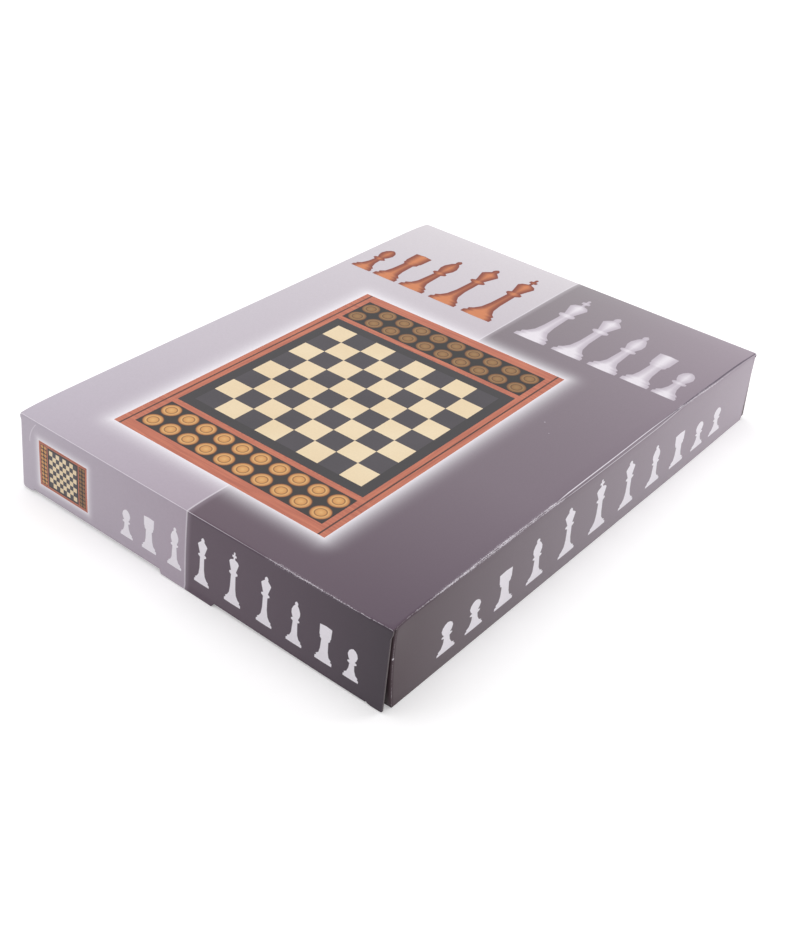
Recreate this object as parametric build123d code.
from build123d import *
import math
import os

# A folding carton that holds a wooden chess case with its men. Sizes are in millimetres.
# X runs across the carton, Y along it from the front end to the rear end, and Z is up.
# The origin is the middle of the underside, under the standing carton.

# Chess case
SQUARE = 28.0
SQUARES_A_SIDE = 8
BOARD_BORDER = 13.0
BOARD_REBATE = 3.0
BOARD_PANEL = 6.0
VENEER = 1.0
VENEER_JOINT = 0.06
LONG_RAIL = 18.0
END_RAIL = 13.0
DIVIDER = 8.0
CASE_HEIGHT = 44.0
BASE_PANEL = 3.0
BASE_REBATE = 6.0
RAIL_CHAMFER = 1.5
SIDE_GROOVE_HEIGHT = 1.6
SIDE_GROOVE_DEPTH = 1.2
PANEL_CLEARANCE = 0.15
CUT_OVERRUN = 1.0

# Sliding lids over the two compartments
LID = 4.0
LID_RECESS = 3.0
LID_TONGUE = 2.0
LID_TONGUE_REACH = 2.2
LID_CLEARANCE = 0.3
FINGER_DIMPLE_RADIUS = 11.0
FINGER_DIMPLE_DEPTH = 1.8
FINGER_DIMPLE_INSET = 34.0

# Lining and feet
LINING = 0.8
LINING_CLEARANCE = 0.3
FOOT_RADIUS = 8.0
FOOT_HEIGHT = 4.0
FOOT_INSET = 24.0

# Chessmen and draughtsmen
KING_HEIGHT = 45.0
QUEEN_HEIGHT = 41.0
BISHOP_HEIGHT = 36.0
KNIGHT_HEIGHT = 33.0
ROOK_HEIGHT = 29.0
PAWN_HEIGHT = 22.0
KING_BASE = 19.0
QUEEN_BASE = 18.0
OFFICER_BASE = 16.0
PAWN_BASE = 13.4
KNIGHT_HEAD = 6.0
MAN_SIDES = 12
DRAUGHT_DIAMETER = 20.0
DRAUGHT_THICKNESS = 6.0
DRAUGHT_SIDES = 16
DRAUGHTS_IN_A_STACK = 3
MAN_GAP = 1.0
REST_GAP = 0.1

# Carton board and the room round the case
BOARD = 1.5
FOLD_RADIUS = 2.0
CREASE_GAP = 0.3
SIDE_CLEARANCE = 3.5
HEADROOM = 2.0
END_CLEARANCE = 5.0
GLUE_FLAP = 22.0
GLUE_FLAP_END_SLOPE = 8.0
GLUE_FLAP_SETBACK = 4.0

# End closures
CLOSURE_LEAN = 2.9
CLOSURE_SIDE_GAP = 0.8
FLAP_TO_CLOSURE = 0.3
SHOULDER = 8.0
SHOULDER_REACH = 2.1
SHOULDER_RADIUS = 1.9
LIP = 45.0
LIP_REACH = 2.6
LIP_RELIEF = 2.0
TONGUE = 13.0
TONGUE_CLEARANCE = 0.8
TONGUE_RISE = 6.0
TONGUE_SLIT = 1.0
TONGUE_CORNER = 9.0
DUST_FLAP = 55.0
DUST_FLAP_SLOPE = 20.5
DUST_FLAP_LOWER_SLOPE = 4.0
DUST_FLAP_TOP_GAP = 1.2
DUST_FLAP_FLOOR_GAP = 7.0
DUST_FLAP_CORNER = 6.0

# Heights that follow from the stack of board, foot, case and headroom
case_floor = BOARD + FOOT_HEIGHT
case_top = case_floor + CASE_HEIGHT
carton_height = case_top + HEADROOM + BOARD
board_face = SQUARES_A_SIDE * SQUARE
board_size = board_face + 2 * BOARD_BORDER
bay = board_size - 2 * BOARD_REBATE
compartment = max(KING_HEIGHT, 2 * PAWN_HEIGHT + MAN_GAP) + 2 * MAN_GAP
case_width = bay + 2 * LONG_RAIL
case_inner_length = bay + 2 * DIVIDER + 2 * compartment
case_length = case_inner_length + 2 * END_RAIL
compartment_y = bay / 2 + DIVIDER + compartment / 2
lining_top = case_floor + BASE_PANEL + LINING
lid_top = case_top - LID_RECESS
lid_middle = lid_top - LID / 2

# Carton sizes that follow from the case and its clearances
carton_width = case_width + 2 * SIDE_CLEARANCE + 2 * BOARD
half_width = carton_width / 2
half_board = BOARD / 2
crease = half_board + CREASE_GAP
flap_axis_y = case_length / 2 + END_CLEARANCE + half_board
flap_face_y = flap_axis_y + half_board
hinge_y = flap_face_y + FLAP_TO_CLOSURE + half_board
hinge_z = carton_height - half_board
tongue_axis_z = BOARD + TONGUE_CLEARANCE + half_board
closure_drop = hinge_z - tongue_axis_z
closure_length = closure_drop / math.cos(math.radians(CLOSURE_LEAN))
tongue_axis_y = hinge_y + closure_drop * math.tan(math.radians(CLOSURE_LEAN))
closure_half = half_width - CLOSURE_SIDE_GAP
crease_half = closure_half - SHOULDER
fold_x = half_width - FOLD_RADIUS
glue_fold_x = -half_width + BOARD + FOLD_RADIUS

parts = {}


def block(x0, x1, y0, y1, z0, z1):
    """A box between two corners."""
    return Pos((x0 + x1) / 2, (y0 + y1) / 2, (z0 + z1) / 2) * Box(x1 - x0, y1 - y0, z1 - z0)


def to_rear(shape):
    """The same piece at the other end of the carton."""
    return mirror(shape, about=Plane.XZ)


def to_right(shape):
    """The same piece on the other side of the carton."""
    return mirror(shape, about=Plane.YZ)


def group(shapes):
    """Separate solids that share one node."""
    return Compound(children=list(shapes))


# Carton sleeve: four panels of one wrapped sheet, with its glued flap


def fold_bend(x, z, x_side, z_side, length):
    """A quarter turn of board round a long fold of the sleeve."""
    tube = Cylinder(FOLD_RADIUS, length) - Cylinder(FOLD_RADIUS - BOARD, length)
    quarter = block(0, FOLD_RADIUS, 0, FOLD_RADIUS, -length / 2, length / 2)
    bend = Rot(90, 0, 0) * (tube & quarter)
    if x_side < 0:
        bend = mirror(bend, about=Plane.YZ)
    if z_side < 0:
        bend = mirror(bend, about=Plane.XY)
    return Pos(x, 0, z) * bend


def top_panel():
    """The top, with its rounded fold noses at both end hinges."""
    slab = block(-fold_x, fold_x, -hinge_y, hinge_y, carton_height - BOARD, carton_height)
    nose = Rot(0, 90, 0) * Cylinder(half_board, 2 * fold_x)
    return slab + Pos(0, hinge_y, hinge_z) * nose + Pos(0, -hinge_y, hinge_z) * nose


def side_panel(x_outer, z_low, z_high):
    """A standing side wall, with rounded fold noses for its two dust flaps."""
    x_inner = x_outer - math.copysign(BOARD, x_outer)
    x0, x1 = sorted((x_outer, x_inner))
    slab = block(x0, x1, -flap_axis_y, flap_axis_y, z_low, z_high)
    x_middle = (x0 + x1) / 2
    nose_low = max(z_low, FOLD_RADIUS)
    nose = Cylinder(half_board, z_high - nose_low)
    z_middle = (nose_low + z_high) / 2
    return slab + Pos(x_middle, flap_axis_y, z_middle) * nose + Pos(x_middle, -flap_axis_y, z_middle) * nose


def right_panel():
    """The right side, folded over at the top and under at the bottom."""
    wall = side_panel(half_width, FOLD_RADIUS, carton_height - FOLD_RADIUS)
    upper = fold_bend(fold_x, carton_height - FOLD_RADIUS, 1, 1, 2 * flap_axis_y)
    lower = fold_bend(fold_x, FOLD_RADIUS, 1, -1, 2 * flap_axis_y)
    return wall + upper + lower


def left_panel():
    """The left side, whose cut lower edge laps the glued flap on the outside."""
    wall = side_panel(-half_width, CREASE_GAP, carton_height - FOLD_RADIUS)
    upper = fold_bend(-fold_x, carton_height - FOLD_RADIUS, -1, 1, 2 * flap_axis_y)
    return wall + upper


def bottom_panel():
    """The bottom, flat between its two folds."""
    return block(glue_fold_x, fold_x, -flap_face_y, flap_face_y, 0, BOARD)


def glue_flap():
    """The flap that is glued to the inside of the left side."""
    half_length = flap_axis_y - GLUE_FLAP_SETBACK
    bend = fold_bend(glue_fold_x, FOLD_RADIUS, -1, -1, 2 * half_length)
    top_half = half_length - GLUE_FLAP_END_SLOPE
    low = FOLD_RADIUS
    outline = Polyline(
        (-half_length, low), (half_length, low), (top_half, low + GLUE_FLAP), (-top_half, low + GLUE_FLAP),
        close=True,
    )
    wall = extrude(Plane.YZ * make_face(outline), BOARD)
    return bend + Pos(-half_width + BOARD, 0, 0) * wall


# End closure, its tongue and its dust flaps, all drawn at the front end


def closure_outline():
    """The hanging panel as seen from outside, with shoulders and a central finger lip."""
    crease_line = -closure_length
    shoulder_line = crease_line - SHOULDER_REACH
    lip_line = crease_line - LIP_REACH
    lip_half = LIP / 2
    half_side = [
        (lip_half - LIP_RELIEF, lip_line),
        (lip_half, crease_line),
        (crease_half, crease_line),
        (crease_half, shoulder_line),
        (closure_half - SHOULDER_RADIUS, shoulder_line),
        (closure_half, shoulder_line + SHOULDER_RADIUS),
        (closure_half, -crease),
    ]
    other_side = [(-x, z) for x, z in reversed(half_side)]
    return make_face(Polyline(*half_side, *other_side, close=True))


def front_closure():
    """The end closure, hung from the top crease and leaning slightly out."""
    panel = extrude(Plane.XZ * closure_outline(), half_board, both=True)
    span = crease_half - LIP / 2
    nose = Rot(0, 90, 0) * Cylinder(half_board, span)
    for side in (-1, 1):
        panel += Pos(side * (LIP / 2 + span / 2), 0, -closure_length) * nose
    return Pos(0, -hinge_y, hinge_z) * Rot(-CLOSURE_LEAN, 0, 0) * panel


def front_tongue():
    """The tuck-in tongue, slit at its ends and notched where the finger lip is cut out."""
    root_half = crease_half - TONGUE_SLIT
    outline = Polyline(
        (-root_half, crease), (root_half, crease), (root_half, TONGUE), (-root_half, TONGUE), close=True
    )
    face = make_face(outline)
    free_corners = face.vertices().group_by(Axis.Y)[-1]
    face = fillet(free_corners, TONGUE_CORNER)
    sheet = extrude(face, half_board, both=True)
    lip_notch = block(-LIP / 2, LIP / 2, 0, half_board + LIP_REACH, -BOARD, BOARD)
    return Pos(0, -tongue_axis_y, tongue_axis_z) * Rot(TONGUE_RISE, 0, 0) * (sheet - lip_notch)


def front_left_dust_flap():
    """A dust flap, tapered so that it follows the closure out without touching it."""
    top = carton_height - BOARD - DUST_FLAP_TOP_GAP
    low = BOARD + DUST_FLAP_FLOOR_GAP
    run = DUST_FLAP - crease
    free_top = top - run * math.tan(math.radians(DUST_FLAP_SLOPE))
    free_low = low + run * math.tan(math.radians(DUST_FLAP_LOWER_SLOPE))
    outline = Polyline(
        (crease, low), (DUST_FLAP, free_low), (DUST_FLAP, free_top), (crease, top), close=True
    )
    face = make_face(outline)
    free_corners = face.vertices().group_by(Axis.X)[-1]
    face = fillet(free_corners, DUST_FLAP_CORNER)
    sheet = extrude(Plane.XZ * face, half_board, both=True)
    return Pos(-half_width + half_board, -flap_axis_y, 0) * sheet


# Chess case


def case_ring(reach):
    """A band round the outside of the case, as deep as the given reach."""
    outer = Box(case_width + CUT_OVERRUN, case_length + CUT_OVERRUN, SIDE_GROOVE_HEIGHT)
    inner = Box(case_width - 2 * reach, case_length - 2 * reach, SIDE_GROOVE_HEIGHT)
    return Pos(0, 0, case_floor + CASE_HEIGHT / 2) * (outer - inner)


def lid_slots():
    """The room for the lids' tongues and for each lid's way out through the right rail."""
    slots = []
    reach = LID_TONGUE_REACH + LID_CLEARANCE
    half_span = compartment / 2 + reach
    half_tongue = LID_TONGUE / 2 + LID_CLEARANCE / 2
    half_lid = LID / 2 + LID_CLEARANCE
    for y in (-compartment_y, compartment_y):
        y0 = y - half_span
        y1 = y + half_span
        groove = block(-bay / 2 - reach, bay / 2, y0, y1, lid_middle - half_tongue, lid_middle + half_tongue)
        way_out = block(bay / 2, case_width / 2 + CUT_OVERRUN, y0, y1, lid_middle - half_lid,
                        lid_middle + half_lid)
        slots += [groove, way_out]
    return slots


def rail(corners):
    """A mitred rail with eased outer edges, grooved and rebated for what it holds."""
    face = make_face(Polyline(*corners, close=True))
    solid = Pos(0, 0, case_floor) * extrude(face, CASE_HEIGHT)
    levels = solid.edges().group_by(Axis.Z)
    outer_edges = [levels[0].sort_by(SortBy.LENGTH)[-1], levels[-1].sort_by(SortBy.LENGTH)[-1]]
    solid = chamfer(outer_edges, RAIL_CHAMFER)
    base_x = bay / 2 + BASE_REBATE
    base_y = case_inner_length / 2 + BASE_REBATE
    solid -= block(-base_x, base_x, -base_y, base_y, case_floor - CUT_OVERRUN, case_floor + BASE_PANEL)
    solid -= board_room()
    solid -= case_ring(SIDE_GROOVE_DEPTH)
    for slot in lid_slots():
        solid -= slot
    return solid


def board_room():
    """The rebate that the playing board drops into."""
    half = board_size / 2
    return block(-half, half, -half, half, case_top - VENEER - BOARD_PANEL, case_top + CUT_OVERRUN)


def long_rail(side):
    """A rail along one long side of the case."""
    x_out = side * case_width / 2
    x_in = side * bay / 2
    y_out = case_length / 2
    y_in = case_inner_length / 2
    return rail([(x_out, -y_out), (x_out, y_out), (x_in, y_in), (x_in, -y_in)])


def end_rail(side):
    """A rail across one end of the case."""
    x_out = case_width / 2
    x_in = bay / 2
    y_out = side * case_length / 2
    y_in = side * case_inner_length / 2
    return rail([(-x_out, y_out), (x_out, y_out), (x_in, y_in), (-x_in, y_in)])


def divider(side):
    """The wall between the board's bay and one compartment."""
    y_bay = side * bay / 2
    y_compartment = side * (bay / 2 + DIVIDER)
    y0, y1 = sorted((y_bay, y_compartment))
    wall = block(-bay / 2, bay / 2, y0, y1, case_floor + BASE_PANEL, case_top)
    wall -= board_room()
    for slot in lid_slots():
        wall -= slot
    return wall


def base_panel():
    """The thin bottom of the case, let into the rails."""
    half_x = bay / 2 + BASE_REBATE - PANEL_CLEARANCE
    half_y = case_inner_length / 2 + BASE_REBATE - PANEL_CLEARANCE
    return block(-half_x, half_x, -half_y, half_y, case_floor, case_floor + BASE_PANEL)


def board_panel():
    """The ground of the playing board."""
    half = board_size / 2 - PANEL_CLEARANCE
    low = case_top - VENEER - BOARD_PANEL
    return block(-half, half, -half, half, low, low + BOARD_PANEL)


def board_border():
    """Four mitred strips of dark veneer round the squares."""
    outer = board_size / 2 - PANEL_CLEARANCE
    inner = board_face / 2
    outline = Polyline((-outer, -outer), (outer, -outer), (inner, -inner), (-inner, -inner), close=True)
    strip = Pos(0, 0, case_top - VENEER) * extrude(make_face(outline), VENEER)
    return group(Rot(0, 0, 90 * turn) * strip for turn in range(4))


def squares(parity):
    """The squares of one colour."""
    tile = Box(SQUARE - VENEER_JOINT, SQUARE - VENEER_JOINT, VENEER)
    first = -board_face / 2 + SQUARE / 2
    z = case_top - VENEER / 2
    tiles = []
    for column in range(SQUARES_A_SIDE):
        for row in range(SQUARES_A_SIDE):
            if (column + row) % 2 == parity:
                tiles.append(Pos(first + column * SQUARE, first + row * SQUARE, z) * tile)
    return group(tiles)


def front_lid():
    """A compartment's sliding lid, with tongues on three edges and a dimple for the finger."""
    half_span = compartment / 2 - LID_CLEARANCE
    x_in = -bay / 2
    x_out = case_width / 2
    half_tongue = LID_TONGUE / 2
    tongue_half_span = compartment / 2 + LID_TONGUE_REACH
    body = block(x_in + LID_CLEARANCE, x_out, -half_span, half_span, -LID / 2, LID / 2)
    tongue_x = x_in - LID_TONGUE_REACH
    body += block(tongue_x, x_out, -tongue_half_span, tongue_half_span, -half_tongue, half_tongue)
    ball_radius = (FINGER_DIMPLE_RADIUS**2 + FINGER_DIMPLE_DEPTH**2) / (2 * FINGER_DIMPLE_DEPTH)
    ball_z = LID / 2 + ball_radius - FINGER_DIMPLE_DEPTH
    dimple = Pos(x_out - FINGER_DIMPLE_INSET, 0, ball_z) * Sphere(ball_radius)
    return Pos(0, -compartment_y, lid_middle) * (body - dimple)


def front_lining():
    """The cloth that lines a compartment's floor."""
    half_x = bay / 2 - LINING_CLEARANCE
    half_y = compartment / 2 - LINING_CLEARANCE
    low = case_floor + BASE_PANEL
    return block(-half_x, half_x, -compartment_y - half_y, -compartment_y + half_y, low, low + LINING)


def felt_feet():
    """Four round felt pads that the case stands on."""
    foot = Cylinder(FOOT_RADIUS, FOOT_HEIGHT)
    x = case_width / 2 - FOOT_INSET
    y = case_length / 2 - FOOT_INSET
    z = BOARD + FOOT_HEIGHT / 2
    return group(Pos(sx * x, sy * y, z) * foot for sx in (-1, 1) for sy in (-1, 1))


# Turned chessmen, each drawn standing on its base


def turned(profile):
    """A man from its half outline of radius and height, the same from every side.

    It has MAN_SIDES flat sides, which stand for the round of the lathe: the outline's prism is
    cut by its own turned copies.
    """
    mirrored = [(-radius, level) for radius, level in reversed(profile)]
    widest = max(radius for radius, level in profile)
    outline = make_face(Polyline(*profile, *mirrored, close=True))
    prism = extrude(Plane.XZ * outline, 2 * widest, both=True)
    man = prism
    for turn in range(1, MAN_SIDES // 2):
        man = man & Rot(0, 0, 360 * turn / MAN_SIDES) * prism
    return man


def skirt(base, height):
    """The foot and tapering stem that every man shares."""
    radius = base / 2
    return [
        (radius, 0),
        (radius, 0.09 * height),
        (0.74 * radius, 0.2 * height),
        (0.4 * radius, 0.52 * height),
    ]


def pawn():
    """A pawn, with a collar and a small round head."""
    radius = PAWN_BASE / 2
    head = [(0.62 * radius, 0.58), (0.42 * radius, 0.63), (0.6 * radius, 0.8), (0.3 * radius, 1.0)]
    return turned(skirt(PAWN_BASE, PAWN_HEIGHT) + [(r, z * PAWN_HEIGHT) for r, z in head])


def rook():
    """A rook, with a hollow crown cut into four battlements."""
    radius = OFFICER_BASE / 2
    crown = 0.68 * radius
    top = [(0.45 * radius, 0.66 * ROOK_HEIGHT), (crown, 0.74 * ROOK_HEIGHT), (crown, ROOK_HEIGHT)]
    body = turned(skirt(OFFICER_BASE, ROOK_HEIGHT) + top)
    battlement = 0.14 * ROOK_HEIGHT
    room = Pos(0, 0, ROOK_HEIGHT - battlement)
    body -= room * extrude(RegularPolygon(0.6 * crown, MAN_SIDES), battlement)
    gap = room * Pos(0, 0, battlement / 2) * Box(2 * radius, 0.4 * crown, battlement)
    return body - gap - Rot(0, 0, 90) * gap


def bishop():
    """A bishop, whose pointed mitre has a slanting cut."""
    radius = OFFICER_BASE / 2
    mitre = [(0.6 * radius, 0.6), (0.38 * radius, 0.66), (0.56 * radius, 0.76), (0.2 * radius, 0.94),
             (0.12 * radius, 1.0)]
    body = turned(skirt(OFFICER_BASE, BISHOP_HEIGHT) + [(r, z * BISHOP_HEIGHT) for r, z in mitre])
    cut = Pos(0.45 * radius, 0, 0.84 * BISHOP_HEIGHT) * Rot(0, -35, 0) * Box(0.7 * radius, 2 * radius, 1.0)
    return body - cut


def queen():
    """A queen, with a flaring coronet and a small ball."""
    radius = QUEEN_BASE / 2
    head = [(0.58 * radius, 0.6), (0.34 * radius, 0.66), (0.62 * radius, 0.86), (0.34 * radius, 0.9),
            (0.2 * radius, 1.0)]
    return turned(skirt(QUEEN_BASE, QUEEN_HEIGHT) + [(r, z * QUEEN_HEIGHT) for r, z in head])


def king():
    """A king, with a flaring crown under a plain cross."""
    radius = KING_BASE / 2
    crown_top = 0.88 * KING_HEIGHT
    head = [(0.6 * radius, 0.6), (0.36 * radius, 0.66), (0.62 * radius, 0.84), (0.26 * radius, 0.88)]
    body = turned(skirt(KING_BASE, KING_HEIGHT) + [(r, z * KING_HEIGHT) for r, z in head])
    cross_height = KING_HEIGHT - crown_top
    arm = 0.28 * cross_height
    upright = Pos(0, 0, crown_top + cross_height / 2) * Box(arm, arm, cross_height)
    bar = Pos(0, 0, crown_top + 0.55 * cross_height) * Box(0.9 * cross_height, arm, arm)
    return body + upright + bar


def knight():
    """A knight: a horse's head in outline, on a turned base."""
    radius = OFFICER_BASE / 2
    shoulder = 0.3 * KNIGHT_HEIGHT
    base = turned([(radius, 0), (radius, 0.1 * KNIGHT_HEIGHT), (0.74 * radius, 0.2 * KNIGHT_HEIGHT),
                   (0.62 * radius, shoulder)])
    mane = ThreePointArc((-0.55 * radius, 0.24 * KNIGHT_HEIGHT), (-0.75 * radius, 0.66 * KNIGHT_HEIGHT),
                         (-0.1 * radius, 0.94 * KNIGHT_HEIGHT))
    face_line = Polyline((-0.1 * radius, 0.94 * KNIGHT_HEIGHT), (0.05 * radius, KNIGHT_HEIGHT),
                         (0.25 * radius, 0.9 * KNIGHT_HEIGHT), (0.9 * radius, 0.7 * KNIGHT_HEIGHT),
                         (0.8 * radius, 0.58 * KNIGHT_HEIGHT), (0.2 * radius, 0.62 * KNIGHT_HEIGHT))
    throat = ThreePointArc((0.2 * radius, 0.62 * KNIGHT_HEIGHT), (0.16 * radius, 0.44 * KNIGHT_HEIGHT),
                           (0.55 * radius, 0.24 * KNIGHT_HEIGHT))
    foot = Line((0.55 * radius, 0.24 * KNIGHT_HEIGHT), (-0.55 * radius, 0.24 * KNIGHT_HEIGHT))
    head = extrude(Plane.XZ * make_face(mane + face_line + throat + foot), KNIGHT_HEAD / 2, both=True)
    return base + head


# Packing the men: one row of columns in each compartment, every man on its side

OFFICERS = ["rook", "knight", "bishop", "queen", "king", "bishop", "knight", "rook"]
PAWN_COLUMNS = 4
DRAUGHT_COLUMNS = 2
MAN_BASES = {
    "king": KING_BASE, "queen": QUEEN_BASE, "bishop": OFFICER_BASE, "knight": OFFICER_BASE,
    "rook": OFFICER_BASE, "pawn": PAWN_BASE,
}
MAN_HEIGHTS = {
    "king": KING_HEIGHT, "queen": QUEEN_HEIGHT, "bishop": BISHOP_HEIGHT, "knight": KNIGHT_HEIGHT,
    "rook": ROOK_HEIGHT, "pawn": PAWN_HEIGHT,
}
HEAD_SHARE = {"king": 0.62, "queen": 0.62, "bishop": 0.56, "knight": 0.35, "rook": 0.68, "pawn": 0.6}
HEAD_LEVEL = {"king": 0.84, "queen": 0.86, "bishop": 0.76, "knight": 0.9, "rook": 1.0, "pawn": 0.8}


def laid_down(man, kind, toward):
    """A man on its side, tipped so that its base and head both touch the lining."""
    radius = MAN_BASES[kind] / 2
    drop = radius * (1 - HEAD_SHARE[kind])
    tip = math.degrees(math.asin(drop / (HEAD_LEVEL[kind] * MAN_HEIGHTS[kind])))
    return Rot(-toward * (90 + tip), 0, 0) * man


def seated(man, x, y):
    """A laid man moved to its place on the lining."""
    box = man.bounding_box()
    middle = box.center()
    return Pos(x - middle.X, y - middle.Y, lining_top + REST_GAP - box.min.Z) * man


def pack_men(colour, y_side):
    """One side's men and its draughtsmen in one compartment."""
    kinds = OFFICERS + ["pawn"] * PAWN_COLUMNS
    widths = [MAN_BASES[kind] for kind in kinds] + [DRAUGHT_DIAMETER] * DRAUGHT_COLUMNS
    gap = (bay - sum(widths)) / (len(widths) + 1)
    y = y_side * compartment_y
    men = {kind: [] for kind in MAN_BASES}
    makers = {"king": king, "queen": queen, "bishop": bishop, "knight": knight, "rook": rook, "pawn": pawn}
    shapes = {kind: maker() for kind, maker in makers.items()}
    x = -bay / 2
    toward = 1
    for kind in kinds:
        x += gap + MAN_BASES[kind] / 2
        if kind == "pawn":
            spread = (PAWN_HEIGHT + MAN_GAP) / 2
            for side in (-1, 1):
                men[kind].append(seated(laid_down(shapes[kind], kind, side), x, y + side * spread))
        else:
            men[kind].append(seated(laid_down(shapes[kind], kind, toward), x, y))
        x += MAN_BASES[kind] / 2
        toward = -toward
    for kind, solids in men.items():
        node = kind if len(solids) == 1 else kind + "s"
        parts[colour + "_" + node] = group(solids) if len(solids) > 1 else solids[0]
    return x, gap


def stack_draughts(x, gap, y_side):
    """Twelve draughtsmen in stacks beside the men."""
    ring = RegularPolygon(DRAUGHT_DIAMETER / 2, DRAUGHT_SIDES, major_radius=False,
                          rotation=180 / DRAUGHT_SIDES)
    disc = extrude(ring, (DRAUGHT_THICKNESS - REST_GAP) / 2, both=True)
    discs = []
    for column in range(DRAUGHT_COLUMNS):
        x += gap + DRAUGHT_DIAMETER / 2
        for side in (-1, 1):
            y = y_side * compartment_y + side * (DRAUGHT_DIAMETER + MAN_GAP) / 2
            for level in range(DRAUGHTS_IN_A_STACK):
                z = lining_top + REST_GAP + (level + 0.5) * DRAUGHT_THICKNESS
                discs.append(Pos(x, y, z) * disc)
        x += DRAUGHT_DIAMETER / 2
    return group(discs)


# Assembly

parts["top_panel"] = top_panel()
parts["bottom_panel"] = bottom_panel()
parts["left_panel"] = left_panel()
parts["right_panel"] = right_panel()
parts["glue_flap"] = glue_flap()

parts["front_closure"] = front_closure()
parts["front_tongue"] = front_tongue()
parts["front_left_dust_flap"] = front_left_dust_flap()
parts["front_right_dust_flap"] = to_right(parts["front_left_dust_flap"])
for piece in ("closure", "tongue", "left_dust_flap", "right_dust_flap"):
    parts["rear_" + piece] = to_rear(parts["front_" + piece])

parts["case_left_rail"] = long_rail(-1)
parts["case_right_rail"] = long_rail(1)
parts["case_front_rail"] = end_rail(-1)
parts["case_rear_rail"] = end_rail(1)
parts["case_base"] = base_panel()
parts["front_divider"] = divider(-1)
parts["rear_divider"] = divider(1)
parts["board_panel"] = board_panel()
parts["board_border"] = board_border()
parts["dark_squares"] = squares(0)
parts["light_squares"] = squares(1)
parts["front_lid"] = front_lid()
parts["rear_lid"] = to_rear(parts["front_lid"])
parts["front_lining"] = front_lining()
parts["rear_lining"] = to_rear(parts["front_lining"])
parts["felt_feet"] = felt_feet()

for colour, y_side in (("white", -1), ("black", 1)):
    end_x, column_gap = pack_men(colour, y_side)
    parts[colour + "_draughtsmen"] = stack_draughts(end_x, column_gap, y_side)

os.makedirs("parts", exist_ok=True)
for name, shape in parts.items():
    export_step(shape, "parts/" + name + ".step")
print(len(parts), "nodes")
print("carton", round(carton_width, 2), "wide,", round(carton_height, 2), "high,",
      round(2 * (hinge_y + half_board), 2), "long at the top creases")
print("case", round(case_width, 2), "x", round(case_length, 2), "x", CASE_HEIGHT)
